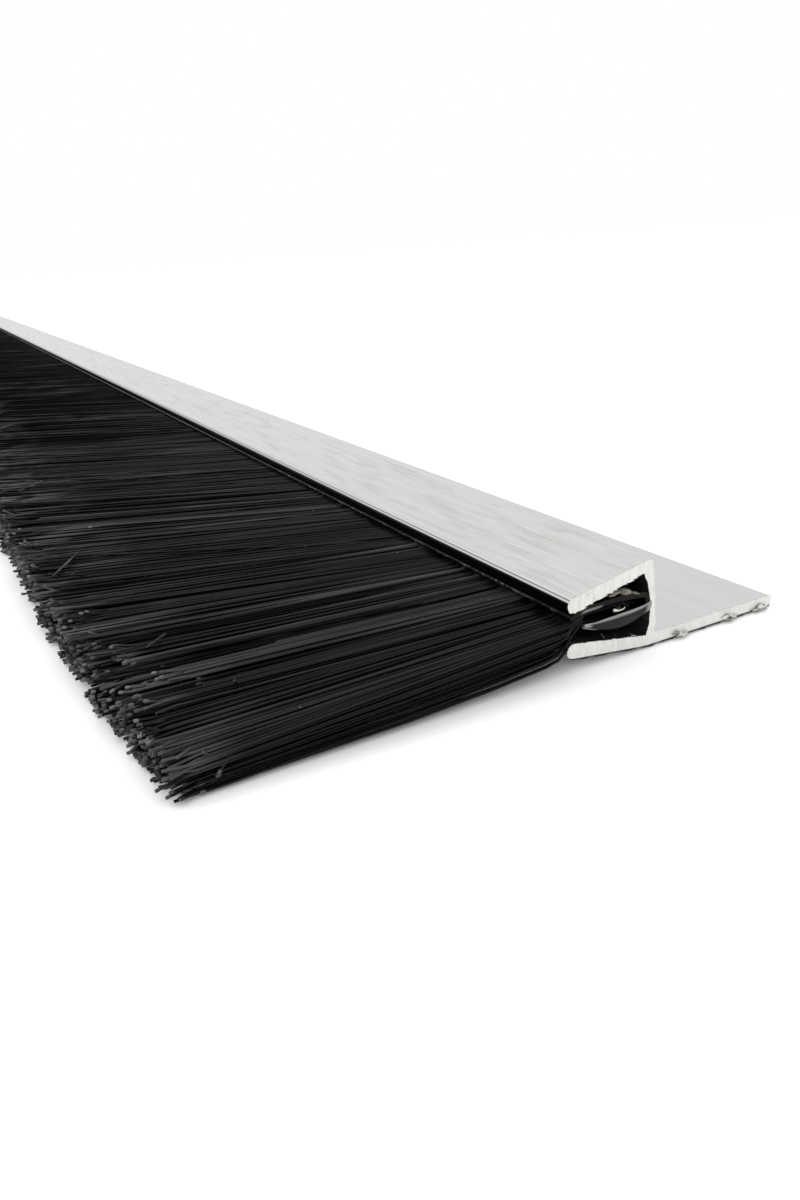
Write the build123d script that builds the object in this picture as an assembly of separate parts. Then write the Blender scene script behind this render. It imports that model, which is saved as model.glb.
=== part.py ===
from build123d import *
import math
import os
import random

# Door bottom brush: an extruded aluminium holder that grips a strip brush by its edge.
# Frame, in millimetres: X runs along the strip, 0 at mid-length, with the sawn end that is seen at +X.
# Y runs across it: 0 at the foot of the web's outer face, the flange towards +Y, the brush towards -Y.
# Z = 0 is the flat mounting face that lies against the door.

length = 914.0

# Holder: flange, web and the two lips that close on the brush
flange_reach = 14.8
flange_thickness = 1.1
flange_edge_radius = 0.25
web_height = 8.5
web_thickness = 1.1
web_lean = 4.4
web_hollow_depth = 0.6
top_corner_radius = 0.4
inner_corner_radius = 0.2
lip_reach = 10.1
lip_root_thickness = 1.1
nose_thickness = 1.44
lower_nose_height = 1.75
mouth_gap = 2.9
foot_overhang = 0.2
foot_bend_radius = 4.0

# Punched screw slots along the flange
slot_count = 4
slot_length = 9.0
slot_width = 4.2
slot_from_end = 52.0

# Strip brush: a folded steel channel crimped round a core wire and the fold of the filaments.
# Its upper wall runs on over the mouth as a drooping lip, which shows under the holder's upper lip.
channel_wall = 0.5
channel_mouth_inset = 1.8
channel_mouth_opening = 0.95
channel_lip_reach = 1.25
channel_lip_drop = 0.4
channel_back_radius = 0.6
channel_lower_bow = 0.65
channel_upper_bow = 0.12
seat_clearance = 0.03
wire_diameter = 1.0
wire_from_mouth = 3.7
pack_clearance = 0.03

# Filaments: three layers of locks that fan out from the holder's mouth to the tips
layer_count = 3
layer_thickness = 0.62
root_inset = 0.4
root_clearance = 0.15
root_overlap = 0.3
tip_bundle_height = 4.1
locks_per_layer = 300
lock_slit_start = 0.8
lock_gap = 0.45
end_reach = 45.5
full_reach = 50.0
tip_raggedness = 1.1
sweep_angle = 28.0
near_sweep_run = 35.0
far_sweep_run = 120.0
end_splay_angle = 4.0
end_splay_run = 8.0
shuffle_seed = 11

half_length = length / 2
nose_radius = nose_thickness / 2
nose_centre_y = nose_radius - lip_reach
channel_mouth_y = channel_mouth_inset - lip_reach
wire_y = channel_mouth_y + wire_from_mouth
root_y = root_inset - lip_reach
lower_nose_top = lower_nose_height + nose_radius
upper_nose_bottom = lower_nose_top + mouth_gap
upper_nose_height = upper_nose_bottom + nose_radius
lean_slope = math.tan(math.radians(web_lean))


def web_outer_y(z):
    """Y of the web's outer face at the height z."""
    return -lean_slope * z


def nose_points(root, nose_centre):
    """Where a lip's upper face, front and lower face meet the round nose."""
    along = (nose_centre - root).normalized()
    upward = Vector(along.Y, -along.X)
    upper = nose_centre + upward * nose_radius
    front = nose_centre + along * nose_radius
    lower = nose_centre - upward * nose_radius
    return upper, front, lower


top_corner = Vector(web_outer_y(web_height), web_height)
upper_nose_centre = Vector(nose_centre_y, upper_nose_height)
lower_nose_centre = Vector(nose_centre_y, lower_nose_height)
upper_root = top_corner + Vector(-web_thickness, -lip_root_thickness) / 2
lower_root = Vector(-web_thickness - foot_overhang, lip_root_thickness / 2)
upper_nose = nose_points(upper_root, upper_nose_centre)
lower_nose = nose_points(lower_root, lower_nose_centre)

# Inner corners of the holder, where the lips' inner faces meet the web
upper_slope = (top_corner.Y - upper_nose[0].Y) / (top_corner.X - upper_nose[0].X)
inner_top_z = web_height - lip_root_thickness - upper_slope * web_thickness
inner_top = Vector(web_outer_y(inner_top_z) - web_thickness, inner_top_z)
inner_foot = Vector(web_outer_y(lip_root_thickness) - web_thickness, lip_root_thickness)


def upper_lip_underside(y):
    """Height of the upper lip's straight lower face at y."""
    share = (inner_top.X - y) / (inner_top.X - upper_nose[2].X)
    return inner_top.Y + share * (upper_nose[2].Y - inner_top.Y)


# The channel's upper edge touches the upper lip, and its back lies in the web's hollow
edge_offset = (channel_mouth_opening + channel_wall) / 2
channel_mid_z = upper_lip_underside(channel_mouth_y) - seat_clearance - channel_wall / 2 - edge_offset
hollow_y = web_outer_y(channel_mid_z) - web_thickness + web_hollow_depth
channel_back_y = hollow_y - seat_clearance - channel_wall / 2
back_centre_y = channel_back_y - channel_back_radius
channel_lip_y = channel_mouth_y - channel_lip_reach
channel_lip_z = channel_mid_z + edge_offset - channel_lip_drop
root_top = channel_lip_z - channel_wall / 2 - pack_clearance


def holder_section():
    """The extrusion's outline, with full round noses and a hollow in the web's inner face."""
    rear_bottom = Vector(flange_reach, 0)
    rear_top = Vector(flange_reach, flange_thickness)
    web_foot = Vector(web_outer_y(flange_thickness), flange_thickness)
    foot_front = Vector(lower_root.X, 0)
    hollow = Vector(hollow_y, channel_mid_z)
    with BuildSketch() as section:
        with BuildLine():
            Polyline(foot_front, rear_bottom, rear_top, web_foot, top_corner, upper_nose[0])
            ThreePointArc(*upper_nose)
            Line(upper_nose[2], inner_top)
            ThreePointArc(inner_top, hollow, inner_foot)
            Line(inner_foot, lower_nose[0])
            ThreePointArc(*lower_nose)
            Line(lower_nose[2], foot_front)
        make_face()
        rounded_corners = (
            (rear_bottom, flange_edge_radius),
            (rear_top, flange_edge_radius),
            (top_corner, top_corner_radius),
            (inner_top, inner_corner_radius),
            (foot_front, foot_bend_radius),
        )
        for corner, radius in rounded_corners:
            nearest = section.vertices().sort_by_distance(corner)[0]
            fillet(nearest, radius=radius)
    return section.sketch


def along_strip(section):
    """A section drawn in Y and Z, drawn out over the whole length."""
    return extrude(Plane.YZ * section, amount=half_length, both=True)


def holder():
    """The aluminium extrusion with its row of punched screw slots."""
    slot_pitch = (length - 2 * slot_from_end) / (slot_count - 1)
    slot = extrude(SlotOverall(slot_length, slot_width), amount=flange_thickness)
    places = Pos(0, flange_reach / 2) * GridLocations(slot_pitch, 1, slot_count, 1)
    return along_strip(holder_section()) - [place * slot for place in places]


def channel_path():
    """Middle line of the folded strip: lower wall, round back, upper wall, each wall bowed by the wire."""
    lower_edge = (channel_mouth_y, channel_mid_z - edge_offset)
    upper_edge = (channel_mouth_y, channel_mid_z + edge_offset)
    lower_back = (back_centre_y, channel_mid_z - channel_back_radius)
    upper_back = (back_centre_y, channel_mid_z + channel_back_radius)
    lower_belly = (wire_y, channel_mid_z - edge_offset - channel_lower_bow)
    upper_belly = (wire_y, channel_mid_z + edge_offset + channel_upper_bow)
    lower_wall = ThreePointArc(lower_edge, lower_belly, lower_back)
    back = ThreePointArc(lower_back, (channel_back_y, channel_mid_z), upper_back)
    upper_wall = ThreePointArc(upper_back, upper_belly, upper_edge)
    return lower_wall + back + upper_wall


def channel_strip():
    """Middle line of the whole strip: the crimped walls, and the lip on the upper one."""
    walls = channel_path()
    return walls + Line(walls @ 1, (channel_lip_y, channel_lip_z))


def thickened(path, half_thickness):
    """A face of even thickness round a path, with round ends."""
    return make_face(offset(path, amount=half_thickness))


def channel():
    """The folded steel strip that holds the fold of the filaments."""
    return along_strip(thickened(channel_strip(), channel_wall / 2))


def wire_height():
    """The wire lies midway between the channel's bowed walls."""
    return channel_mid_z + (channel_upper_bow - channel_lower_bow) / 2


def core_wire():
    """The wire that the filaments are folded over."""
    return along_strip(Pos(wire_y, wire_height()) * Circle(wire_diameter / 2))


def fold_section():
    """Filaments pressed into the channel round the wire, and the neck that widens under its lip."""
    path = channel_path()
    mouth = Line(path @ 1, path @ 0)
    wall = thickened(channel_strip(), channel_wall / 2 + pack_clearance)
    wire = Pos(wire_y, wire_height()) * Circle(wire_diameter / 2 + pack_clearance)
    neck_half = channel_mouth_opening / 2 - pack_clearance
    neck_start_y = channel_mouth_y + channel_wall
    neck_end_y = channel_mouth_y - channel_wall
    neck = Polygon(
        (neck_start_y, channel_mid_z - neck_half),
        (neck_start_y, channel_mid_z + neck_half),
        (root_y, root_top),
        (root_y, lower_nose_top + root_clearance),
        (neck_end_y, channel_mid_z - neck_half),
        align=None,
    )
    return make_face(path + mouth) + neck - wall - wire


def sweep(x):
    """Angle by which the locks lean along the strip at x, towards -X where positive."""
    from_near_end = half_length - x
    from_far_end = half_length + x
    near_share = 1 - math.exp(-from_near_end / near_sweep_run)
    far_share = 1 - math.exp(-from_far_end / far_sweep_run)
    splay = end_splay_angle * math.exp(-from_near_end / end_splay_run)
    return sweep_angle * near_share * far_share - splay


def reach(x):
    """Distance from Y = 0 to the tips at x: the worn ends of the brush are shorter."""
    from_end = half_length - abs(x)
    return full_reach + (end_reach - full_reach) * math.exp(-from_end / near_sweep_run)


def lock_layer(root_z, tip_z, first_share, shuffle):
    """One layer of locks: a comb in plan whose underside falls from root_z to tip_z at full reach.

    first_share is the width of the first lock in pitches, so that the slits of two layers don't line up."""
    pitch = length / locks_per_layer
    slits = [first_share * pitch - half_length + number * pitch for number in range(locks_per_layer)]
    slits = [slit for slit in slits if slit < half_length - pitch / 4]
    borders = [-half_length, *slits, half_length]
    drop = math.atan2(root_z - tip_z, full_reach + root_y)
    outline = [(-half_length, root_overlap), (-half_length, -lock_slit_start)]
    for left, right in zip(borders, borders[1:]):
        gap = lock_gap * shuffle.uniform(0.3, 1.7)
        for root_x, side in ((left, 1), (right, -1)):
            free = reach(root_x) + root_y - shuffle.uniform(0, tip_raggedness)
            tip_x = root_x - free * math.tan(math.radians(sweep(root_x))) + side * gap / 2
            outline.append((tip_x, -free / math.cos(drop)))
        outline.append((right, -lock_slit_start))
    outline.append((half_length, root_overlap))
    normal = (0, -math.sin(drop), math.cos(drop))
    plane = Plane(origin=(0, root_y, root_z), x_dir=(1, 0, 0), z_dir=normal)
    return extrude(plane * make_face(Polyline(*outline, close=True)), amount=layer_thickness)


def filaments():
    """The folded root of the filaments and the layers of locks that stand out of the mouth."""
    shuffle = random.Random(shuffle_seed)
    lowest_root = lower_nose_top + root_clearance
    highest_root = root_top - layer_thickness
    pack = along_strip(fold_section())
    for number in range(layer_count):
        share = number / (layer_count - 1)
        root_z = lowest_root + share * (highest_root - lowest_root)
        tip_z = share * (tip_bundle_height - layer_thickness)
        pack += lock_layer(root_z, tip_z, (number + 1) / layer_count, shuffle)
    return pack


pieces = {
    "aluminium_holder": holder(),
    "brush_channel": channel(),
    "core_wire": core_wire(),
    "brush_filaments": filaments(),
}
os.makedirs("parts", exist_ok=True)
for name, piece in pieces.items():
    export_step(piece, f"parts/{name}.step")
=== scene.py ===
import math
import random
from bisect import bisect_right

import bmesh
import bpy
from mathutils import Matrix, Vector, noise


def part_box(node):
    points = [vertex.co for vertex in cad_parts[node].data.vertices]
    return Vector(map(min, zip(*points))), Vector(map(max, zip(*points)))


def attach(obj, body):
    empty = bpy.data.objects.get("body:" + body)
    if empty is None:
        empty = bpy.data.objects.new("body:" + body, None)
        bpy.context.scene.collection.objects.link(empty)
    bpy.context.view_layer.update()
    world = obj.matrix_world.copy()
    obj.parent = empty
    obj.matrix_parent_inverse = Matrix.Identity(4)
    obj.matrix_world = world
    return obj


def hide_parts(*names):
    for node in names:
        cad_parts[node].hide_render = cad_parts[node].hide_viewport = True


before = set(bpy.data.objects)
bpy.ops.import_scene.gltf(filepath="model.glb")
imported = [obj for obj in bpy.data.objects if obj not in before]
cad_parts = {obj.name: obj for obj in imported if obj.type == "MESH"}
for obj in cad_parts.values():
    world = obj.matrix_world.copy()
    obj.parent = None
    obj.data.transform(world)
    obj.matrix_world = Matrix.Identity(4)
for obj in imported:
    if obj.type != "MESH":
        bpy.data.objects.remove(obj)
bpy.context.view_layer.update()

# The camera stands low beside the sawn end and looks along the strip,
# so that the end fills the right of the image and the brush runs out at the left.
# Its place comes from the slopes of the holder's long edges, in metres from the sawn end.
holder_low, holder_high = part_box("aluminium_holder")
sawn_end = holder_high.x
camera_from_end = Vector((0.05566, -0.05331, 0.03573))
camera_turn = (68.026, 4.051, 62.111)
camera_data = bpy.data.cameras.new("camera")
camera_data.lens = 26.534
camera_data.sensor_width = 36
camera_data.clip_start = 0.002
camera = bpy.data.objects.new("camera", camera_data)
camera.location = Vector((sawn_end, 0, 0)) + camera_from_end
camera.rotation_euler = [math.radians(angle) for angle in camera_turn]
bpy.context.collection.objects.link(camera)
bpy.context.scene.camera = camera

# The holder is an extrusion of 6063 aluminium, left as it came from the die and sawn to length.
# The die leaves fine straight lines along it, and handling adds short faint scuffs.
# Its hollow is painted dark and made less metallic, a painted shade, and the underside of its upper nose
# is painted black, a painted reflection of the black filaments. The saw leaves matt ends, painted paler,
# partly their own tone and partly a painted highlight.
mm = 0.001
upper_lip_slope = 0.21
upper_lip_under = -8.0 * mm
lower_lip_slope = 0.15
lower_lip_top = 0.4 * mm
web_slope = 0.075
web_front = 0.7 * mm
behind_noses = -9.1 * mm
handled_from = 2 * mm
handled_above = 5 * mm
nose_front = -9.42 * mm
between_lips = 4 * mm
# The tone at each height in millimetres up the front of the upper lip's nose: black at the bottom, a
# painted reflection of the black filaments, and a little darker at the top, a painted shade that dims the
# nose's highlight.
nose_low = 6.3
nose_high = 6.85
nose_tones = (
    (6.421, "080807"),
    (6.465, "B4B4B3"),
    (6.575, "BCBCBB"),
    (6.608, "6E6E6D"),
    (6.663, "767675"),
    (6.696, "C8C8C7"),
)


def to_linear(hex_colour):
    """A colour written as sRGB hex, as linear red, green, blue and alpha."""
    parts = [int(hex_colour[i:i + 2], 16) / 255 for i in (0, 2, 4)]
    return [c / 12.92 if c <= 0.04045 else ((c + 0.055) / 1.055) ** 2.4 for c in parts] + [1]


def add_node(tree, kind, inputs, output=None, **settings):
    """Adds a node with its settings and inputs, and gives the output of that name, or else its first."""
    node = tree.nodes.new("ShaderNode" + kind)
    for name, value in settings.items():
        setattr(node, name, value)
    for name, value in inputs.items():
        if isinstance(value, bpy.types.NodeSocket):
            tree.links.new(value, node.inputs[name])
        else:
            node.inputs[name].default_value = value
    return node.outputs[output] if output else node.outputs[0]


def new_material(name, **values):
    """A named material, its node tree and its Principled shader with the values that it starts from."""
    material = bpy.data.materials.new(name)
    material.use_nodes = True
    shader = material.node_tree.nodes["Principled BSDF"]
    for socket, value in values.items():
        shader.inputs[socket.replace("_", " ")].default_value = value
    return material, material.node_tree, shader


def stretched_noise(tree, size_mm, detail=2.0, turn=(0, 0, 0)):
    """Noise whose grain has the given size along X, Y and Z, in millimetres."""
    place = add_node(tree, "TexCoord", {}, "Object")
    scale = [1 / (size * mm) for size in size_mm]
    grain = add_node(tree, "Mapping", {"Vector": place, "Scale": scale, "Rotation": turn})
    return add_node(tree, "TexNoise", {"Vector": grain, "Scale": 1.0, "Detail": detail})


def sawn_share(tree):
    """1 on the sawn ends, which face along X, and 0 elsewhere."""
    facing = add_node(tree, "TexCoord", {}, "Normal")
    along = add_node(tree, "SeparateXYZ", {"Vector": facing}, "X")
    flat = add_node(tree, "Math", {0: along}, operation="ABSOLUTE")
    return add_node(tree, "Math", {0: flat, 1: 0.9}, operation="GREATER_THAN")


def hollow_shaded_share(tree, sawn):
    """1 on the holder's inner faces, which lie between its lips and behind its noses, where the hollow's
    shade is painted.
    """
    place = add_node(tree, "TexCoord", {}, "Object")
    share = add_node(tree, "Math", {0: 1.0, 1: sawn}, operation="SUBTRACT")
    planes = (
        ((0, upper_lip_slope, -1), upper_lip_under),
        ((0, lower_lip_slope, 1), lower_lip_top),
        ((0, -1, -web_slope), web_front),
        ((0, 1, 0), behind_noses),
    )
    for way_in, limit in planes:
        depth = add_node(tree, "VectorMath", {0: place, 1: way_in}, "Value", operation="DOT_PRODUCT")
        inside = add_node(tree, "Math", {0: depth, 1: limit}, operation="GREATER_THAN")
        share = add_node(tree, "Math", {0: share, 1: inside}, operation="MULTIPLY")
    return share


def upper_nose_share(tree, across, height, sawn):
    """1 on the round front of the upper lip's nose, and 0 elsewhere."""
    front = add_node(tree, "Math", {0: across, 1: nose_front}, operation="LESS_THAN")
    upper = add_node(tree, "Math", {0: height, 1: between_lips}, operation="GREATER_THAN")
    share = add_node(tree, "Math", {0: front, 1: upper}, operation="MULTIPLY")
    return add_node(tree, "Math", {0: share, 1: sawn}, operation="SUBTRACT", use_clamp=True)


def nose_reflection_colour(tree, height):
    """Painted reflection of the black filaments: black from below, then bare metal with one dark die line,
    a little darker at the top to dim the highlight, by height in millimetres.
    """
    limits = {"From Min": nose_low * mm, "From Max": nose_high * mm}
    up_nose = add_node(tree, "MapRange", {"Value": height, **limits})
    colour = add_node(tree, "ValToRGB", {"Fac": up_nose})
    ramp = colour.node.color_ramp
    ramp.elements[0].color = to_linear("060605")
    ramp.elements[1].color = to_linear("C4C4C3")
    for tone_height, tone in nose_tones:
        stop = ramp.elements.new((tone_height - nose_low) / (nose_high - nose_low))
        stop.color = to_linear(tone)
    return colour


def mill_finish_aluminium():
    """Extruded aluminium, pale grey, with die lines 0.35 mm wide, fine scratches and sawn ends."""
    material, tree, shader = new_material("mill_finish_6063_aluminium")
    # Real die lines are finer. They are drawn this wide so that they show.
    die_lines = stretched_noise(tree, (45, 0.35, 0.35), 3.0)
    lined = add_node(tree, "MapRange", {"Value": die_lines, "From Min": 0.3, "From Max": 0.7})
    drawn = add_node(
        tree,
        "Mix",
        {"Factor": lined, "A": to_linear("CACAC9"), "B": to_linear("D5D5D4")},
        "Result",
        data_type="RGBA",
    )
    place = add_node(tree, "TexCoord", {}, "Object")
    height = add_node(tree, "SeparateXYZ", {"Vector": place}, "Z")
    handled = add_node(
        tree,
        "MapRange",
        {"Value": height, "From Min": handled_from, "From Max": handled_above, "To Min": 0.2},
    )
    clouds = stretched_noise(tree, (8, 1, 1), 4.0)
    stained = add_node(
        tree,
        "MapRange",
        {"Value": clouds, "From Min": 0.48, "From Max": 0.72, "To Max": 0.6},
    )
    stained = add_node(tree, "Math", {0: stained, 1: handled}, operation="MULTIPLY")
    clouded = add_node(
        tree,
        "Mix",
        {"Factor": stained, "A": drawn, "B": to_linear("B8B4B1")},
        "Result",
        data_type="RGBA",
    )
    scratches = stretched_noise(tree, (7, 0.12, 0.12), 1.0)
    scratched = add_node(
        tree,
        "MapRange",
        {"Value": scratches, "From Min": 0.68, "From Max": 0.76, "To Max": 0.8},
    )
    scratched = add_node(tree, "Math", {0: scratched, 1: handled}, operation="MULTIPLY")
    overlay = add_node(
        tree,
        "Mix",
        {"Factor": scratched, "A": clouded, "B": to_linear("F2F2F0")},
        "Result",
        data_type="RGBA",
    )
    sawn = sawn_share(tree)
    across = add_node(tree, "SeparateXYZ", {"Vector": place}, "Y")
    # The round front of the upper nose gets the painted reflection and the dimmed highlight from
    # nose_tones.
    nose = upper_nose_share(tree, across, height, sawn)
    nose_tone = nose_reflection_colour(tree, height)
    overlay = add_node(tree, "Mix", {"Factor": nose, "A": overlay, "B": nose_tone}, "Result", data_type="RGBA")
    # The inner faces get a dark mottled tone and less metallic shine: a painted shade for the hollow.
    hollow_shaded = hollow_shaded_share(tree, sawn)
    hollow_shade = stretched_noise(tree, (3, 1.5, 1.5), 3.0)
    hollow_shade_colour = add_node(
        tree,
        "Mix",
        {"Factor": hollow_shade, "A": to_linear("1A1917"), "B": to_linear("3B3A37")},
        "Result",
        data_type="RGBA",
    )
    inner = add_node(
        tree,
        "Mix",
        {"Factor": hollow_shaded, "A": overlay, "B": hollow_shade_colour},
        "Result",
        data_type="RGBA",
    )
    # The sawn ends are painted paler than the faces, partly their own saw-roughened tone and partly a
    # painted highlight.
    tooth_marks = stretched_noise(tree, (2, 0.3, 1.2), 3.0, (math.radians(25), 0, 0))
    toothed = add_node(
        tree,
        "Mix",
        {"Factor": tooth_marks, "A": to_linear("CBCBC9"), "B": to_linear("EEEEEC")},
        "Result",
        data_type="RGBA",
    )
    pits = stretched_noise(tree, (0.4, 0.4, 0.4), 2.0)
    pitted = add_node(
        tree,
        "MapRange",
        {"Value": pits, "From Min": 0.7, "From Max": 0.75, "To Max": 0.8},
    )
    cut_tone = add_node(
        tree,
        "Mix",
        {"Factor": pitted, "A": toothed, "B": to_linear("8A8986")},
        "Result",
        data_type="RGBA",
    )
    colour = add_node(
        tree, "Mix", {"Factor": sawn, "A": inner, "B": cut_tone}, "Result", data_type="RGBA"
    )
    relief = add_node(tree, "Mix", {"Factor": sawn, "A": die_lines, "B": tooth_marks}, "Result")
    bump = add_node(tree, "Bump", {"Height": relief, "Strength": 0.25, "Distance": 0.05 * mm})
    roughness = add_node(tree, "MapRange", {"Value": sawn, "To Min": 0.36, "To Max": 0.6})
    metal = add_node(tree, "MapRange", {"Value": hollow_shaded, "To Min": 1.0, "To Max": 0.3})
    tree.links.new(colour, shader.inputs["Base Color"])
    tree.links.new(roughness, shader.inputs["Roughness"])
    tree.links.new(metal, shader.inputs["Metallic"])
    tree.links.new(bump, shader.inputs["Normal"])
    return material


def dress(node_name, material):
    """Gives a CAD node its material."""
    for place in bpy.data.objects[node_name].material_slots:
        place.material = material


aluminium = mill_finish_aluminium()
dress("aluminium_holder", aluminium)

# The saw leaves a thin torn burr all round the holder's end, and rolls a few bright flakes of metal
# under the flange's lower edge. Both are aluminium and were never filed off.
# Where the burr hangs under that edge it is painted near black, a painted contact shadow.
burr_step = 0.2 * mm
burr_stand = 0.06 * mm
burr_tear = 0.09 * mm
burr_wave = 0.8 * mm
burr_wall = 0.04 * mm
under_burr_hang = 0.14 * mm
facing_down = -0.7
highest_contact_shade = 1.6 * mm
flakes_in_heap = 5
flake_centres = (3.0 * mm, 9.6 * mm, 13.3 * mm)
flake_radius = 0.3 * mm
touching = 0.001 * mm
torn = random.Random(5)


def keep_piece(name, form, materials, smooth=False):
    """Makes a bmesh a piece of the object, riding on its one body."""
    bmesh.ops.recalc_face_normals(form, faces=form.faces)
    mesh = bpy.data.meshes.new(name)
    form.to_mesh(mesh)
    form.free()
    for material in materials:
        mesh.materials.append(material)
    mesh.polygons.foreach_set("use_smooth", [smooth] * len(mesh.polygons))
    piece = bpy.data.objects.new(name, mesh)
    bpy.context.collection.objects.link(piece)
    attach(piece, "root")


def end_outline(node_name, end_x, step):
    """A CAD node's end outline in short steps, and the way out of the solid at each point."""
    form = bmesh.new()
    form.from_mesh(bpy.data.objects[node_name].data)
    bmesh.ops.remove_doubles(form, verts=form.verts, dist=touching)
    end_faces = set()
    for face in form.faces:
        if abs(face.calc_center_median().x - end_x) < touching:
            end_faces.add(face)
    rim = [edge for edge in form.edges if len(end_faces.intersection(edge.link_faces)) == 1]
    for edge in rim:
        bmesh.ops.subdivide_edges(form, edges=[edge], cuts=int(edge.calc_length() / step))
    form.normal_update()
    outward = {}
    kept_edges = []
    for edge in form.edges:
        at_end = all(abs(vert.co.x - end_x) < touching for vert in edge.verts)
        sides = [face for face in edge.link_faces if abs(face.normal.x) < 0.5]
        if at_end and sides:
            kept_edges.append(edge)
            for vert in edge.verts:
                if vert.index not in outward:
                    outward[vert.index] = Vector()
                outward[vert.index] += sides[0].normal
    return form, kept_edges, outward


def saw_burr():
    """A torn ribbon of metal round the end's outline, painted near black where it hangs under the edge, a
    painted contact shadow.
    """
    source, edges, outward = end_outline("aluminium_holder", sawn_end, burr_step)
    form = bmesh.new()
    feet = {}
    crests = {}
    under = set()
    for edge in edges:
        for vert in edge.verts:
            if vert.index not in feet:
                way_out = outward[vert.index].normalized()
                if way_out.z < facing_down and vert.co.z < highest_contact_shade:
                    under.add(vert.index)
                feet[vert.index] = form.verts.new(vert.co - way_out * burr_wall)
                raggedness = noise.noise(vert.co / burr_wave)
                tear = way_out * (0.3 + raggedness) * burr_tear
                if vert.index in under:
                    tear = way_out * (0.6 + raggedness) * under_burr_hang
                stand = Vector((torn.uniform(0.3, 1) * burr_stand, 0, 0))
                crests[vert.index] = form.verts.new(vert.co + tear + stand)
        first, second = (vert.index for vert in edge.verts)
        ribbon = form.faces.new((feet[first], feet[second], crests[second], crests[first]))
        # Ribbon faces under the edge get the second material, a painted contact shadow.
        ribbon.material_index = int(first in under and second in under)
    source.free()
    bmesh.ops.recalc_face_normals(form, faces=form.faces)
    bmesh.ops.solidify(form, geom=form.faces, thickness=burr_wall)
    return form


def saw_flakes():
    """Crumpled flakes of metal under the flange's edge."""
    form = bmesh.new()
    for centre in flake_centres:
        for _ in range(flakes_in_heap):
            flake = bmesh.ops.create_icosphere(form, subdivisions=1, radius=flake_radius)["verts"]
            squash = (0.7, torn.uniform(1.2, 2.4), torn.uniform(0.4, 0.8))
            bmesh.ops.scale(form, verts=flake, vec=squash)
            for vert in flake:
                vert.co += Vector([torn.uniform(-0.3, 0.3) * flake_radius for _ in range(3)])
            out = torn.uniform(0.1, 0.35) * mm
            place = (sawn_end + out, centre + torn.gauss(0, 0.4) * mm, torn.uniform(0.05, 0.4) * mm)
            bmesh.ops.translate(form, verts=flake, vec=place)
    return form


def torn_aluminium():
    """Aluminium crumpled by the saw: grey facets and bright creases."""
    material, tree, shader = new_material("saw_torn_6063_aluminium", Metallic=1.0, Roughness=0.4)
    crumple = stretched_noise(tree, (0.5, 0.5, 0.4), 3.0)
    creased = add_node(tree, "MapRange", {"Value": crumple, "From Min": 0.4, "From Max": 0.6})
    colour = add_node(
        tree,
        "Mix",
        {"Factor": creased, "A": to_linear("8F8F8C"), "B": to_linear("D4D4D1")},
        "Result",
        data_type="RGBA",
    )
    tree.links.new(colour, shader.inputs["Base Color"])
    return material


# The painted contact shadow is matt and nearly black.
contact_shade = new_material("dried_cutting_fluid_grime", Base_Color=to_linear("141312"), Roughness=0.7)[0]
keep_piece("holder_saw_burr", saw_burr(), [aluminium, contact_shade])
flake_metal = torn_aluminium()
keep_piece("holder_saw_flakes", saw_flakes(), [flake_metal])

# The brush channel is thin mild steel strip, rolled and oiled, folded and crimped round the wire.
# Its rolled faces are painted very dark, partly the oiled steel's own tone and partly a painted shade
# under the holder's nose. The slit edge along its lip is a thin broken bright line, partly the sheared
# edge's own paleness and partly a painted highlight.
lip_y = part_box("brush_channel")[0].y
slit_edge_width = 0.04 * mm
wiped_centre = -7.4 * mm
wiped_half = 1.3 * mm
wiped_top = 5.4 * mm


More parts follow.
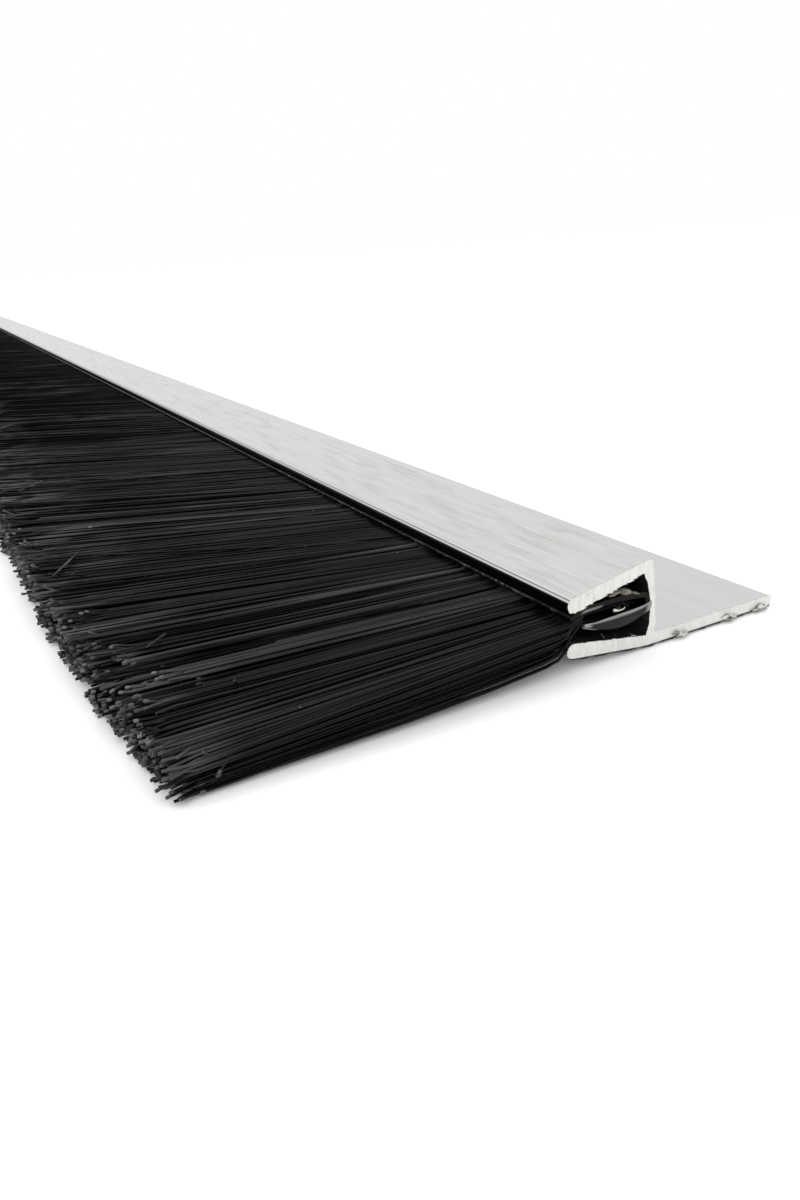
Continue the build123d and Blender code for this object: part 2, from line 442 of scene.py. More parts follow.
def shaded_oiled_steel_strip():
    """Rolled steel, very dark with oil and painted shade, paler along the slit edge of its lip, partly a
    painted highlight, and paler at its sawn ends.
    """
    material, tree, shader = new_material("oiled_cold_rolled_steel_strip", Metallic=0.9, Roughness=0.45)
    rolled = stretched_noise(tree, (9, 0.25, 0.25), 3.0)
    # The near black of the rolled faces is partly a painted shade under the holder's nose.
    rolled_and_shaded_tone = add_node(
        tree,
        "Mix",
        {"Factor": rolled, "A": to_linear("0B0B0A"), "B": to_linear("191817")},
        "Result",
        data_type="RGBA",
    )
    place = add_node(tree, "TexCoord", {}, "Object")
    across = add_node(tree, "SeparateXYZ", {"Vector": place}, "Y")
    mottle = stretched_noise(tree, (0.5, 0.5, 0.3), 3.0)
    greasy_tone = add_node(
        tree,
        "Mix",
        {"Factor": mottle, "A": to_linear("0B0A08"), "B": to_linear("221F1B")},
        "Result",
        data_type="RGBA",
    )
    from_wiped = add_node(tree, "Math", {0: across, 1: wiped_centre}, operation="SUBTRACT")
    from_wiped = add_node(tree, "Math", {0: from_wiped}, operation="ABSOLUTE")
    wiped = add_node(
        tree,
        "MapRange",
        {
            "Value": from_wiped,
            "From Min": wiped_half * 0.6,
            "From Max": wiped_half,
            "To Min": 1.0,
            "To Max": 0.0,
        },
    )
    height = add_node(tree, "SeparateXYZ", {"Vector": place}, "Z")
    lower_half = add_node(
        tree,
        "MapRange",
        {
            "Value": height,
            "From Min": wiped_top - 0.05 * mm,
            "From Max": wiped_top,
            "To Min": 1.0,
            "To Max": 0.0,
        },
    )
    wiped = add_node(tree, "Math", {0: wiped, 1: lower_half}, operation="MULTIPLY")
    sawn_tone = add_node(
        tree,
        "Mix",
        {"Factor": wiped, "A": greasy_tone, "B": to_linear("6E6E6C")},
        "Result",
        data_type="RGBA",
    )
    broken = stretched_noise(tree, (0.9, 0.4, 0.4), 3.0)
    shiny = add_node(tree, "MapRange", {"Value": broken, "From Min": 0.5, "From Max": 0.72})
    # The broken pale line along the slit edge is partly a painted highlight.
    slit_tone = add_node(
        tree,
        "Mix",
        {"Factor": shiny, "A": to_linear("121211"), "B": to_linear("7E7E7A")},
        "Result",
        data_type="RGBA",
    )
    slit = add_node(tree, "Math", {0: across, 1: lip_y + slit_edge_width}, operation="LESS_THAN")
    lipped = add_node(
        tree, "Mix", {"Factor": slit, "A": rolled_and_shaded_tone, "B": slit_tone}, "Result", data_type="RGBA"
    )
    colour = add_node(
        tree,
        "Mix",
        {"Factor": sawn_share(tree), "A": lipped, "B": sawn_tone},
        "Result",
        data_type="RGBA",
    )
    bump = add_node(tree, "Bump", {"Height": rolled, "Strength": 0.4, "Distance": 0.05 * mm})
    tree.links.new(colour, shader.inputs["Base Color"])
    tree.links.new(bump, shader.inputs["Normal"])
    return material


strip_steel = shaded_oiled_steel_strip()
dress("brush_channel", strip_steel)

# The saw dragged the soft steel of the channel's lower wall upwards,
# so that a smeared crescent covers the lower half of the wire's end. Its rim and its two ends are painted
# pale, a painted highlight on the rounded edge.
smear_from_y = -8.35 * mm
smear_to_y = -0.93 * mm
smear_low = 3.62 * mm
smear_high = 4.06 * mm
smear_sag = 0.85 * mm
smear_rise = 0.17 * mm
smear_back_lift = 0.27 * mm
smear_front_lift = 0.2 * mm
smear_lean = 0.22 * mm
smear_wall = 0.08 * mm


def smeared_height(along, up):
    """Height of the smear at the share along it and the share up it."""
    lower = smear_low - smear_sag * math.sin(math.pi * along ** 1.1)
    lift = smear_back_lift * along ** 10 + smear_front_lift * math.exp(-(along / 0.1) ** 2)
    upper = smear_high + smear_rise * along + lift
    return lower + (upper - lower) * up


def saw_smear():
    """The crescent: a plate that leans out towards its top edge."""
    form = bmesh.new()
    form.loops.layers.uv.new("smear")
    bmesh.ops.create_grid(form, x_segments=48, y_segments=12, size=0.5, calc_uvs=True)
    for vert in form.verts:
        along = vert.co.x + 0.5
        up = vert.co.y + 0.5
        y = smear_from_y + (smear_to_y - smear_from_y) * along
        roundness = math.sin(math.pi * min(max(along, 0.02), 0.5)) ** 0.35
        height = smeared_height(along, 0.5 + (up - 0.5) * roundness)
        lean = smear_lean * math.sin(2.3 * up) * roundness
        stand = 0.02 * mm + lean + torn.uniform(-0.008, 0.008) * mm
        vert.co = (sawn_end + stand, y, height)
    bmesh.ops.recalc_face_normals(form, faces=form.faces)
    bmesh.ops.solidify(form, geom=form.faces, thickness=smear_wall)
    return form


def smeared_steel():
    """Steel dragged by the saw teeth: dark grey, with a rim and two ends painted paler, a painted
    highlight.
    """
    material, tree, shader = new_material("saw_smeared_mild_steel", Metallic=0.9, Roughness=0.5)
    drag = stretched_noise(tree, (1, 0.9, 0.15), 3.0)
    dragged = add_node(
        tree,
        "Mix",
        {"Factor": drag, "A": to_linear("131312"), "B": to_linear("333332")},
        "Result",
        data_type="RGBA",
    )
    place = add_node(tree, "TexCoord", {}, "UV")
    along = add_node(tree, "SeparateXYZ", {"Vector": place}, "X")
    up = add_node(tree, "SeparateXYZ", {"Vector": place}, "Y")
    # The rim and the two ends are painted pale: a painted highlight on the smear's rounded edge.
    rim = add_node(tree, "MapRange", {"Value": up, "From Min": 0.74, "From Max": 0.92})
    tip = add_node(tree, "MapRange", {"Value": along, "From Min": 0.12, "From Max": 0.05})
    back = add_node(tree, "MapRange", {"Value": along, "From Min": 0.9, "From Max": 0.97})
    bright = add_node(tree, "Math", {0: rim, 1: tip}, operation="MAXIMUM")
    bright = add_node(tree, "Math", {0: bright, 1: back}, operation="MAXIMUM")
    rim_highlight_tone = add_node(
        tree,
        "Mix",
        {"Factor": drag, "A": to_linear("747472"), "B": to_linear("B4B4B1")},
        "Result",
        data_type="RGBA",
    )
    colour = add_node(
        tree, "Mix", {"Factor": bright, "A": dragged, "B": rim_highlight_tone}, "Result", data_type="RGBA"
    )
    tree.links.new(colour, shader.inputs["Base Color"])
    return material


keep_piece("channel_saw_smear", saw_smear(), [smeared_steel()], smooth=True)

# The core wire is drawn steel, laid in the channel with the filaments folded over it.
# The wire is painted dark, a painted shade at its sawn end, and a bright curl of it stands out, dragged up
# by the saw.
wire_low, wire_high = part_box("core_wire")
wire_centre = (wire_low + wire_high) / 2
wire_radius = (wire_high.z - wire_low.z) / 2


def drawn_wire_steel(name, dark, light):
    """Drawn steel with a fine grain along the wire."""
    material, tree, shader = new_material(name, Metallic=1.0, Roughness=0.32)
    grain = stretched_noise(tree, (12, 0.12, 0.12), 2.0)
    colour = add_node(
        tree,
        "Mix",
        {"Factor": grain, "A": to_linear(dark), "B": to_linear(light)},
        "Result",
        data_type="RGBA",
    )
    tree.links.new(colour, shader.inputs["Base Color"])
    return material


def new_tube_curve(name, radius, materials, corners=0):
    """An empty curve whose splines become closed tubes of that radius, rounder with more corners."""
    curve = bpy.data.curves.new(name, "CURVE")
    curve.dimensions = "3D"
    curve.bevel_depth = radius
    curve.bevel_resolution = corners
    curve.use_fill_caps = True
    for material in materials:
        curve.materials.append(material)
    return curve


def add_run(curve, points, material_index=0, taper=None):
    """Adds straight runs through the points to a curve, with a share of its radius at each."""
    spline = curve.splines.new("POLY")
    spline.points.add(len(points) - 1)
    for number, (point, place) in enumerate(zip(spline.points, points)):
        point.co = (*place, 1)
        if taper:
            point.radius = taper[number]
    spline.material_index = material_index


def keep_tubes(curve):
    """Makes a curve's tubes a mesh piece of the object, riding on its one body."""
    helper = bpy.data.objects.new("tube_helper", curve)
    bpy.context.collection.objects.link(helper)
    evaluated = helper.evaluated_get(bpy.context.evaluated_depsgraph_get())
    mesh = bpy.data.meshes.new_from_object(evaluated)
    mesh.name = curve.name
    bpy.data.objects.remove(helper)
    piece = bpy.data.objects.new(curve.name, mesh)
    bpy.context.collection.objects.link(piece)
    bpy.data.curves.remove(curve)
    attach(piece, "root")
    return piece


# The wire's dark grey is a painted shade.
shaded_wire = drawn_wire_steel("dull_drawn_steel_wire", "1C1C1B", "343432")
dress("core_wire", shaded_wire)
bright_wire = drawn_wire_steel("bright_sheared_steel_wire", "A8A8A5", "E0E0DD")
curl = new_tube_curve("wire_curl", 0.1 * mm, [bright_wire, shaded_wire], 2)
# The points are in millimetres, with X counted out from the sawn end.
curl_points = (
    (0.34, -4.1, 4.72),
    (0.35, -4.25, 4.6),
    (0.35, -4.6, 4.57),
    (0.35, -4.95, 4.62),
    (0.35, -5.2, 4.72),
    (0.35, -5.45, 4.78),
)
stem_points = (
    (0.05, -4.1, 5.3),
    (0.2, -4.09, 5.05),
    (0.34, -4.08, 4.72),
)
curl_runs = (
    (curl_points, (0.5, 0.7, 0.8, 1.2, 1.7, 1.1)),
    (stem_points, (0.3, 0.3, 0.4)),
)
for material_index, (points, taper) in enumerate(curl_runs):
    places = [Vector((sawn_end + x * mm, y * mm, z * mm)) for x, y, z in points]
    add_run(curl, places, material_index, taper)
keep_tubes(curl)

# The filaments are extruded black polypropylene, a little over a quarter of a millimetre thick.
# Folded over the wire and held by the crimped channel, they fan out between the holder's lips.
# They part into locks and wisps, lean along the strip as a used brush does, and end ragged.
filament_radius = 0.14 * mm
base_density = 24 / mm
end_density = 30 / mm
dense_end_run = 8 * mm
# The filaments further from the sawn end than this have fewer bends and no bruised tips.
detailed_end_run = 150 * mm
# The strip's middle is at X = 0, so the sawn end is half its length away.
half_length = sawn_end
nose_y = holder_low.y
end_reach = 45.0 * mm
full_reach = 50.0 * mm
sweep_angle = 28.0
near_sweep_run = 35 * mm
far_sweep_run = 120 * mm
end_splay_angle = 0.5
end_splay_run = 8 * mm
end_bundle = 3.4 * mm
bundle_gain = 1.8 * mm
bundle_run = 30 * mm
comb = random.Random(3)


def sweep(x):
    """Angle of the filaments along the strip at x, towards -X where positive, in degrees."""
    near_share = 1 - math.exp((x - half_length) / near_sweep_run)
    far_share = 1 - math.exp(-(x + half_length) / far_sweep_run)
    end_splay = end_splay_angle * math.exp((x - half_length) / end_splay_run)
    return sweep_angle * near_share * far_share - end_splay


def reach(x):
    """Distance from Y = 0 of the tips that leave the channel at x, less at the worn ends of the brush."""
    tip_x = x - (full_reach + nose_y) * math.tan(math.radians(sweep(x)))
    near_end = math.exp((abs(tip_x) - half_length) / near_sweep_run)
    return full_reach + (end_reach - full_reach) * near_end


def bundle_height(x):
    """Thickness of the bundle at its tips, less at the brush's ends."""
    return end_bundle + bundle_gain * (1 - math.exp((abs(x) - half_length) / bundle_run))


layer_count = 5
# How much of their width locks and wisps keep at the tips.
upper_tightness = (0.7, 0.62)
lower_tightness = (0.88, 0.85)
lock_width = (3.0, 7.0)
wisp_width = (0.5, 1.5)
# How far locks and wisps differ: in turn by degrees, in lift and length by millimetres.
lock_turn_spread = 1.1
lock_lift_spread = 0.36
lock_length_spread = 0.2
wisp_turn_spread = 0.5
wisp_lift_spread = 0.2
wisp_length_spread = 0.14


def borders_between(left, right, width):
    """Random borders from left to right, width[0] to width[1] millimetres apart."""
    borders = [left]
    while borders[-1] + width[1] * mm < right:
        borders.append(borders[-1] + comb.uniform(*width) * mm)
    return borders + [right]


def wisps_of_layer(level):
    """The wisps of one layer in their locks, tighter in the upper layers, with turn, lift and length."""
    tightness = upper_tightness if level >= layer_count - 3 else lower_tightness
    lock_tightness, wisp_tightness = tightness
    wisps = []
    lock_borders = borders_between(-half_length, half_length, lock_width)
    for left, right in zip(lock_borders, lock_borders[1:]):
        at_end = left == -half_length or right == half_length
        calm = 0.3 if at_end else 1.0
        lock_turn = comb.gauss(0, lock_turn_spread) * calm
        lock_lift = comb.gauss(0, lock_lift_spread) * mm * calm
        lock_longer = comb.gauss(0, lock_length_spread) * mm
        lock_tone = comb.random() * (0.5 if at_end else 1.0)
        lock_bunch = 1.0 if at_end else lock_tightness + comb.uniform(0, 0.2)
        wisp_borders = borders_between(left, right, wisp_width)
        for wisp_left, wisp_right in zip(wisp_borders, wisp_borders[1:]):
            wisps.append(
                {
                    "left": wisp_left,
                    "middle": (wisp_left + wisp_right) / 2,
                    "bunch": wisp_tightness + comb.uniform(0, 0.3),
                    "lock_middle": (left + right) / 2,
                    "lock_half": (right - left) / 2,
                    "lock_bunch": lock_bunch,
                    "turn": lock_turn + comb.gauss(0, wisp_turn_spread) * calm,
                    "lift": lock_lift + comb.gauss(0, wisp_lift_spread) * mm * calm,
                    "longer": lock_longer + comb.gauss(0, wisp_length_spread) * mm,
                    "tone": 0.55 * lock_tone + 0.45 * comb.random(),
                }
            )
    return wisps


layers = [wisps_of_layer(level) for level in range(layer_count)]
layer_lefts = [[wisp["left"] for wisp in layer] for layer in layers]
mouth_height = 4.6 * mm
mouth_spread = 0.7 * mm
crimp_depth = 1.35 * mm
lowest_root = 2.68 * mm
highest_root = 4.48 * mm
lock_crest = 1.1 * mm
# A filament's lot makes it short, broken off, bent or, in the patch near the sawn end, worn down.
short_until = 0.18
broken_until = 0.185
bent_until = 0.195
worn_until = 0.85
worn_patch = (5 * mm, 19 * mm)
worn_patch_loss = 6.5 * mm
frayed_share = 0.22
fray_from = 0.94
# The side of the bundle shows at the sawn end, so the filaments there have more bends.
# Each bend has its share of the way out, and how early the lower filaments drop.
seen_end = 4 * mm
end_bends = ((0.015, 0.25), (0.04, 0.48), (0.08, 0.55), (0.25, 0.53), (0.5, 0.38))
inner_bends = ((0.05, 0.55), (0.25, 0.55))


def on_floor(point):
    """The point, lifted where it would lie in the floor."""
    return Vector((point.x, point.y, max(point.z, filament_radius * 1.1)))


def in_worn_patch(x):
    """Whether x lies in the patch near the sawn end where the top filaments are worn short."""
    return worn_patch[0] < half_length - x < worn_patch[1]


def filament(x, wisp, share, detailed):
    """Points of a filament leg from crimp to tip. share is 0 for the lowest and 1 for the highest."""
    together = wisp["middle"] + (x - wisp["middle"]) * wisp["bunch"]
    together = wisp["lock_middle"] + (together - wisp["lock_middle"]) * wisp["lock_bunch"]
    from_end = half_length - abs(x)
    free_to_turn = min(1.0, 0.2 + from_end / (10 * mm))
    out = reach(x) + wisp["longer"] + comb.gauss(0, 0.2) * mm
    lean = sweep(x) + (wisp["turn"] + comb.gauss(0, 0.25)) * free_to_turn
    off_middle = (x - wisp["lock_middle"]) / wisp["lock_half"]
    tip_lift = wisp["lift"] + lock_crest * (0.4 - off_middle ** 2) + comb.gauss(0, 0.1) * mm
    lot = comb.random()
    if lot < short_until:
        out -= comb.uniform(0.5, 3.0) * mm
    elif lot < broken_until and from_end > seen_end:
        out -= comb.uniform(3.0, 14.0) * mm
    elif lot < bent_until:
        lean += comb.gauss(0, 5) * free_to_turn
        tip_lift += abs(comb.gauss(0, 0.6)) * mm
    elif lot < worn_until and share > 0.75 and in_worn_patch(x):
        worn_share = 1 - (from_end - worn_patch[0]) / (worn_patch[1] - worn_patch[0])
        out -= worn_patch_loss * worn_share * comb.uniform(0.9, 1.05)
    free = out + nose_y
    crimp = Vector((x, lip_y + crimp_depth, mouth_height + (share - 0.5) * mouth_spread))
    root = Vector((x, lip_y - 0.05 * mm, lowest_root + share * (highest_root - lowest_root)))
    tip_x = together - free * math.tan(math.radians(lean))
    tip = Vector((tip_x, -out, share * bundle_height(x) + tip_lift))
    fray = root.lerp(tip, fray_from)
    tip.x += comb.gauss(0, 0.2) * mm
    tip.z += comb.gauss(0, 0.18) * mm
    if comb.random() < frayed_share:
        tip += Vector((comb.gauss(0, 0.5), comb.uniform(0.3, 1.4), comb.gauss(0, 0.4))) * mm
    points = [crimp, root, on_floor(fray), on_floor(tip)]
    if detailed:
        loose = abs(comb.gauss(0, 0.35)) * mm * max(0.0, 1 - from_end / (3 * mm))
        bends = end_bends if from_end < seen_end else inner_bends
        for number, (part, early_drop) in enumerate(bends):
            bend = root.lerp(fray, part)
            bend.z += (tip.z - root.z) * early_drop * (1 - share) ** 2
            bend.x += loose
            points.insert(2 + number, on_floor(bend))
    return points


crimp_half_gap = 0.3 * mm
fold_room_y = 1.7 * mm
fold_room_z = 0.12 * mm


def folded_filament(x, share):
    """The fold of a filament round the core wire, from one crimped leg to the other."""
    spread_y = wire_radius + filament_radius + share * fold_room_y
    spread_z = wire_radius + filament_radius + share * fold_room_z
    points = [Vector((x, lip_y + crimp_depth, mouth_height + crimp_half_gap))]
    for angle in (110, 60, 20, -20, -60, -110):
        turn = math.radians(angle)
        points.append(wire_centre + Vector((0, math.cos(turn) * spread_y, math.sin(turn) * spread_z)))
        points[-1].x = x
    points.append(Vector((x, lip_y + crimp_depth, mouth_height - crimp_half_gap)))
    return points


# From here to the tips some patches of filaments are painted pale grey, a painted highlight.
tip_highlight_from_y = -36 * mm
tip_highlight_full_y = -50 * mm


def black_polypropylene(name, dark, light, rough, shine, tip_highlight=0.85):
    """Black plastic, its tone changing a little between filaments, with pale patches towards the tips, a
    painted highlight.
    """
    material, tree, shader = new_material(name, Roughness=rough, Specular_IOR_Level=shine)
    streaks = stretched_noise(tree, (4, 30, 4), 4.0)
    streaked = add_node(tree, "MapRange", {"Value": streaks, "From Min": 0.35, "From Max": 0.65})
    plastic = add_node(
        tree,
        "Mix",
        {"Factor": streaked, "A": to_linear(dark), "B": to_linear(light)},
        "Result",
        data_type="RGBA",
    )
    place = add_node(tree, "TexCoord", {}, "Object")
    across = add_node(tree, "SeparateXYZ", {"Vector": place}, "Y")
    # Pale grey patches grow towards the tips: a painted highlight.
    overlay = add_node(
        tree,
        "MapRange",
        {"Value": across, "From Min": tip_highlight_from_y, "From Max": tip_highlight_full_y, "To Max": tip_highlight},
    )
    patches = stretched_noise(tree, (2.4, 16, 2.4), 2.0)
    patchy = add_node(tree, "MapRange", {"Value": patches, "From Min": 0.48, "From Max": 0.6})
    paler_highlit = add_node(tree, "Math", {0: overlay, 1: patchy}, operation="MULTIPLY")
    colour = add_node(
        tree,
        "Mix",
        {"Factor": paler_highlit, "A": plastic, "B": to_linear("626261")},
        "Result",
        data_type="RGBA",
    )
    tree.links.new(colour, shader.inputs["Base Color"])
    return material


def tones_of_polypropylene(finish, shines):
    """Five tones of one finish: plain; paler and brighter, given to wisps at random and partly a painted
    highlight; pale for the cut tips, a painted highlight; and blacker inside the bundle, a painted shade.
    """
    name = f"{finish}_black_polypropylene"
    return [
        black_polypropylene(name, "020202", "0B0B0C", 0.3, shines[0]),
        black_polypropylene(f"{name}_dusty", "0A0A0A", "242425", 0.36, shines[1]),
        black_polypropylene(f"{name}_scuffed", "18181A", "424242", 0.4, shines[2]),
        black_polypropylene(f"{name}_cut", "3A3A3A", "7C7C7A", 0.6, shines[3]),
        black_polypropylene(f"{name}_clean", "020202", "060606", 0.4, shines[4], 0.4),
    ]


# The filaments near the sawn end shine. Further along they get almost no shine, so that they look darker:
# a painted shade.
shiny_tones = tones_of_polypropylene("polished", (0.15, 0.18, 0.18, 0.18, 0.06))
shaded_tones = tones_of_polypropylene("dull", (0.02, 0.02, 0.02, 0.02, 0.02))
all_shiny_from = sawn_end - 55 * mm
none_shiny_from = sawn_end - 175 * mm
# The places of the five tones in each set.
plain_material = 0
paler_highlit_material = 1
brighter_highlit_material = 2
cut_end_highlight_material = 3
deep_shade_material = 4
plain_until = 0.64
paler_highlit_until = 0.84
shine_draw = random.Random(8)
bruised_share = 0.8
bruise_length = 0.36 * mm
facing_out = -0.75
even_end = 3 * mm


def tone_of(x, wisp, level):
    """Which material a filament has: blacker inside the bundle and under the worn patch, a painted shade,
    and outside black or paler by wisps, more often paler in the outer layers, partly a painted highlight.
    """
    outside = level >= layer_count - 2
    if not outside and half_length - abs(x) > 2 * mm:
        return deep_shade_material
    tone = (comb.random() * 0.35 + wisp["tone"] * 0.65) * (1.15 if outside else 0.85)
    # Under the worn patch the lower layers get the blacker tone: a painted shade in the hollow there.
    if level < layer_count - 1 and in_worn_patch(x):
        return deep_shade_material
    if tone < plain_until:
        return plain_material
    if tone < paler_highlit_until:
        return paler_highlit_material
    return brighter_highlit_material


def density(x):
    """Filament legs for each metre of the strip at x."""
    return base_density + end_density * math.exp((abs(x) - half_length) / dense_end_run)


def shiny_share(x):
    """Share of the filaments at x that keep their shine: all near the sawn end, none far along, where the
    painted shade of almost no shine takes over.
    """
    share = (x - none_shiny_from) / (all_shiny_from - none_shiny_from)
    return min(1.0, max(0.0, share))


def stretch_of_filaments(name, left, right):
    """All filament legs that leave the channel between left and right."""
    tones = shaded_tones
    if shiny_share(right) > 0:
        tones = shiny_tones + shaded_tones
    shaded_start = len(tones) - len(shaded_tones)
    curve = new_tube_curve(name, filament_radius, tones)
    x = left
    while x < right:
        side = comb.uniform(-1, 1)
        evenness = 1.0 if half_length - abs(x) < even_end else 0.7
        share = 0.5 + math.copysign(abs(side) ** evenness, side) / 2
        level = min(int(share * layer_count), layer_count - 1)
        wisp = layers[level][bisect_right(layer_lefts[level], x) - 1]
        detailed = half_length - x < detailed_end_run
        points = filament(x, wisp, share, detailed)
        # The rest get the set with almost no shine, a painted shade.
        finish = 0 if shine_draw.random() < shiny_share(x) else shaded_start
        add_run(curve, points, finish + tone_of(x, wisp, level))
        # Most tips near the sawn end get a swollen end painted pale grey, a painted highlight.
        if detailed and comb.random() < bruised_share:
            back = (points[-2] - points[-1]).normalized()
            bruise = [points[-1] + back * bruise_length * part for part in (1, 0.4, -0.1)]
            bruise_highlight_tone = finish + comb.choice((cut_end_highlight_material, brighter_highlit_material))
            add_run(curve, bruise, bruise_highlight_tone, (1.02, 1.28, 1.05))
        x += comb.expovariate(density(x))
    piece = keep_tubes(curve)
    # The cut faces of the tips are painted pale: a painted highlight.
    for polygon in piece.data.polygons:
        if polygon.normal.y < facing_out:
            polygon.material_index += cut_end_highlight_material - polygon.material_index % len(shaded_tones)
    return piece


near_stretch = 45 * mm
second_stretch = 95 * mm
far_stretches = 10
stretch_borders = [half_length, half_length - near_stretch, half_length - second_stretch]
while stretch_borders[-1] > -half_length + 1 * mm:
    stretch_borders.append(stretch_borders[-1] - (2 * half_length - second_stretch) / far_stretches)
stretch_borders[-1] = -half_length
for number, (right, left) in enumerate(zip(stretch_borders, stretch_borders[1:]), start=1):
    stretch = stretch_of_filaments(f"filaments_{number:02d}", left, right)
    if number == 1:
        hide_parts("brush_filaments")

folds = new_tube_curve("folded_filaments", filament_radius, shaded_tones)
fold_run = 10 * mm
folds_at_end = 260
for side in (-1, 1):
    for _ in range(folds_at_end):
        depth = comb.uniform(0.1 * mm, fold_run)
        points = folded_filament(side * (half_length - depth), comb.random())
        add_run(folds, points, comb.choice((plain_material, plain_material, paler_highlit_material)))
keep_tubes(folds)

# A few filaments have broken off and lie across the brush near its tips.
# Pale cotton lint clings to the brush and to the channel's lip, as it does in use.
broken_bits = new_tube_curve("broken_filaments", filament_radius, shiny_tones)
# Each broken bit has its X from the sawn end, its Y, its turn in degrees and its length, in millimetres.
bit_places = (
    (-45.2, -44.7, 61, 7.8),
    (-88.0, -43.5, 50, 6.0),
    (-18.5, -41.0, 40, 2.6),
    (-150.0, -42.0, 60, 8.0),
    (-240.0, -40.0, 45, 9.0),
)
lint_count = 50
lip_lint_count = 14
large_lint_count = 6
lip_lint_height = 5.1 * mm
lint_run = 40
lock_stand = 0.35 * mm


def top_of_brush(x, y):
    """Height of the brush's upper side above the point x, y."""
    share = (lip_y - y) / (lip_y + reach(x))
    return highest_root + share * (bundle_height(x) - highest_root) + lock_stand


for x, y, turn, length in bit_places:
    place = Vector((sawn_end + x * mm, y * mm, 0))
    angle = math.radians(turn)
    way = Vector((math.sin(angle), -math.cos(angle), 0)) * length * mm / 2
    ends = [place - way, place, place + way]
    for end in ends:
        end.z = top_of_brush(end.x, end.y) + 0.1 * mm
    add_run(broken_bits, ends, comb.choice((paler_highlit_material, brighter_highlit_material, brighter_highlit_material)))
keep_tubes(broken_bits)


def lint_specks():
    """Specks of lint, most of them on the brush near the sawn end and some along the channel's lip."""
    form = bmesh.new()
    for number in range(lint_count):
        if number < lip_lint_count:
            x = sawn_end - comb.uniform(2, 60) * mm
            place = Vector((x, lip_y + comb.uniform(-0.05, 0.1) * mm, lip_lint_height))
        else:
            x = sawn_end - comb.expovariate(1 / lint_run) * mm
            place = Vector((x, comb.uniform(-44, -11) * mm, 0))
            place.z = top_of_brush(place.x, place.y) - 0.1 * mm
        size = comb.uniform(0.02, 0.05) * mm * (2.2 if number < large_lint_count else 1)
        speck = bmesh.ops.create_icosphere(form, subdivisions=1, radius=size)["verts"]
        stretch = (comb.uniform(0.6, 1.8), comb.uniform(0.6, 1.8), 0.8)
        bmesh.ops.scale(form, verts=speck, vec=stretch)
        bmesh.ops.translate(form, verts=speck, vec=place)
    return form


# Cotton lint is matt and pale grey.
lint = new_material("pale_cotton_lint", Base_Color=to_linear("8E8D89"), Roughness=0.9)[0]
keep_piece("lint_specks", lint_specks(), [lint])

# Fine curls of aluminium from the saw lie on the lower lip, in its painted shade.
# They are the same bright, crumpled metal as the flakes, and were never brushed out.
swarf_radius = 0.04 * mm
swarf = new_tube_curve("saw_swarf", swarf_radius, [flake_metal], 1)
swarf_runs = (
    (
        ((-0.8, -4.15, 1.68), (-0.5, -4.5, 1.66), (-0.2, -4.4, 1.72)),
        (0.8, 1.2, 0.5),
    ),
    (
        ((-0.5, -2.85, 1.45), (-0.3, -2.6, 1.52), (-0.1, -2.85, 1.44), (0.0, -2.4, 1.4)),
        (0.5, 1.1, 1.4, 0.7),
    ),
    (
        ((-0.4, -5.7, 1.9), (-0.6, -5.9, 2.2), (-1.0, -5.6, 2.5), (-1.4, -4.9, 2.6)),
        (0.5, 0.4, 0.4, 0.3),
    ),
)
for points, taper in swarf_runs:
    places = [Vector((sawn_end + x * mm, y * mm, z * mm)) for x, y, z in points]
    add_run(swarf, places, 0, taper)
keep_tubes(swarf)

# Dried adhesive sits between the holder's upper lip and the channel at the sawn end, in three lumps.
# It is khaki with greyer crusts, and was pressed in from the end.
adhesive_half_depth = 0.35
adhesive_set_back = 0.3 * mm
# Each lump has its Y and Z, its half width and half height, and its tilt in degrees.
adhesive_lumps = (
    ((-4.95, 5.98), (0.6, 0.17), 8),
    ((-3.6, 5.86), (0.75, 0.32), -14),
    ((-2.55, 5.52), (0.7, 0.13), -20),
)


def adhesive_dab():
    """Three lumps pressed flat between the lip and the channel, with a crusted skin."""
    form = bmesh.new()
    for (y, z), (half_width, half_height), tilt in adhesive_lumps:
        lump = bmesh.ops.create_icosphere(form, subdivisions=4, radius=1 * mm)["verts"]
        bmesh.ops.scale(form, verts=lump, vec=(adhesive_half_depth, half_width, half_height))
        for vert in lump:
            vert.co *= 1 + 0.25 * noise.noise(vert.co / (0.35 * mm)) + torn.uniform(-0.02, 0.02)
            vert.co.z += math.tan(math.radians(tilt)) * vert.co.y
        bmesh.ops.translate(form, verts=lump, vec=(sawn_end - adhesive_set_back, y * mm, z * mm))
    return form


def dried_adhesive():
    """Old adhesive, khaki to grey."""
    material, tree, shader = new_material("dried_contact_adhesive", Roughness=0.5)
    crust = stretched_noise(tree, (0.5, 0.6, 0.3), 4.0)
    crusted = add_node(tree, "MapRange", {"Value": crust, "From Min": 0.35, "From Max": 0.65})
    colour = add_node(
        tree,
        "Mix",
        {"Factor": crusted, "A": to_linear("504C3A"), "B": to_linear("85827A")},
        "Result",
        data_type="RGBA",
    )
    bump = add_node(tree, "Bump", {"Height": crust, "Strength": 0.6, "Distance": 0.1 * mm})
    tree.links.new(colour, shader.inputs["Base Color"])
    tree.links.new(bump, shader.inputs["Normal"])
    return material


keep_piece("adhesive_dab", adhesive_dab(), [dried_adhesive()], smooth=True)

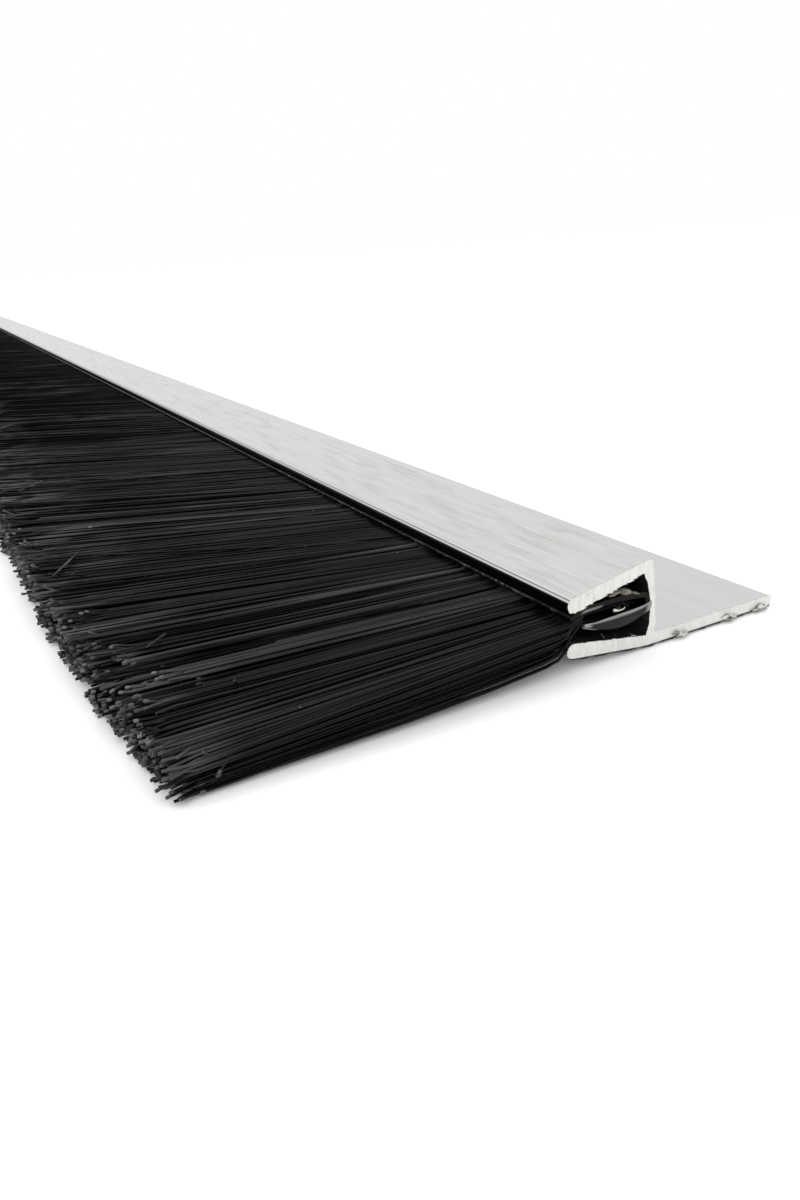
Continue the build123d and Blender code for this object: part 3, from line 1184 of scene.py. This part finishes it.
# The floor and the far background are plain white, as in a studio.
# The floor takes the strip's soft shadow. To the camera and in the metal it glows a little, up to white.
# It lies just under the strip's lowest point.
floor_drop = 0.28 * mm
floor_size = 8
shade_reach = 9 * mm
floor_glow = 0.33
studio_paper, tree, shader = new_material("matt_white_studio_paper", Roughness=0.9, Specular_IOR_Level=0.1)
shader.inputs["Base Color"].default_value = to_linear("F4F4F3")
shader.inputs["Emission Color"].default_value = (1, 1, 1, 1)
camera_ray = add_node(tree, "LightPath", {}, "Is Camera Ray")
glossy_ray = add_node(tree, "LightPath", {}, "Is Glossy Ray")
seen = add_node(tree, "Math", {0: camera_ray, 1: glossy_ray}, operation="MAXIMUM")
# Near the strip the glow fades with ambient occlusion: a painted contact shadow on the floor.
open_share = add_node(tree, "AmbientOcclusion", {"Distance": shade_reach}, "AO", samples=4)
glow = add_node(tree, "Math", {0: seen, 1: open_share}, operation="MULTIPLY")
glow = add_node(tree, "Math", {0: glow, 1: floor_glow}, operation="MULTIPLY")
tree.links.new(glow, shader.inputs["Emission Strength"])
form = bmesh.new()
bmesh.ops.create_grid(form, x_segments=1, y_segments=1, size=floor_size)
bmesh.ops.translate(form, verts=form.verts, vec=(0, 0, -floor_drop))
floor_mesh = bpy.data.meshes.new("studio_floor")
form.to_mesh(floor_mesh)
form.free()
floor_mesh.materials.append(studio_paper)
floor = bpy.data.objects.new("studio_floor", floor_mesh)
bpy.context.collection.objects.link(floor)

# The studio is lit evenly from all sides by its white walls, which the metal and the camera see as white.
# A large soft box over the strip and a small one behind the camera give the black plastic its shine.
wall_light = 0.82
world = bpy.data.worlds.new("studio")
bpy.context.scene.world = world
world.use_nodes = True
tree = world.node_tree
camera_ray = add_node(tree, "LightPath", {}, "Is Camera Ray")
glossy_ray = add_node(tree, "LightPath", {}, "Is Glossy Ray")
clear_ray = add_node(tree, "LightPath", {}, "Is Transmission Ray")
seen = add_node(tree, "Math", {0: camera_ray, 1: glossy_ray}, operation="MAXIMUM")
seen = add_node(tree, "Math", {0: seen, 1: clear_ray}, operation="MAXIMUM")
strength = add_node(tree, "MapRange", {"Value": seen, "To Min": wall_light, "To Max": 1.0})
tree.links.new(strength, tree.nodes["Background"].inputs["Strength"])
tree.nodes["Background"].inputs["Color"].default_value = (1, 1, 1, 1)
soft_boxes = (
    ("overhead_box", (-0.32, -0.36, 0.82), 1.5, 3.1),
    ("camera_box", (0.8, -0.5, 0.7), 0.5, 2.0),
)
for name, from_end, size, power in soft_boxes:
    light = bpy.data.lights.new(name, "AREA")
    light.shape = "SQUARE"
    light.size = size
    light.energy = power
    lamp = bpy.data.objects.new(name, light)
    lamp.location = Vector((sawn_end, 0, 0)) + Vector(from_end)
    lamp.rotation_euler = (-Vector(from_end)).to_track_quat("-Z", "Y").to_euler()
    bpy.context.collection.objects.link(lamp)

# Colours come out as they are written.
bpy.context.scene.view_settings.view_transform = "Standard"
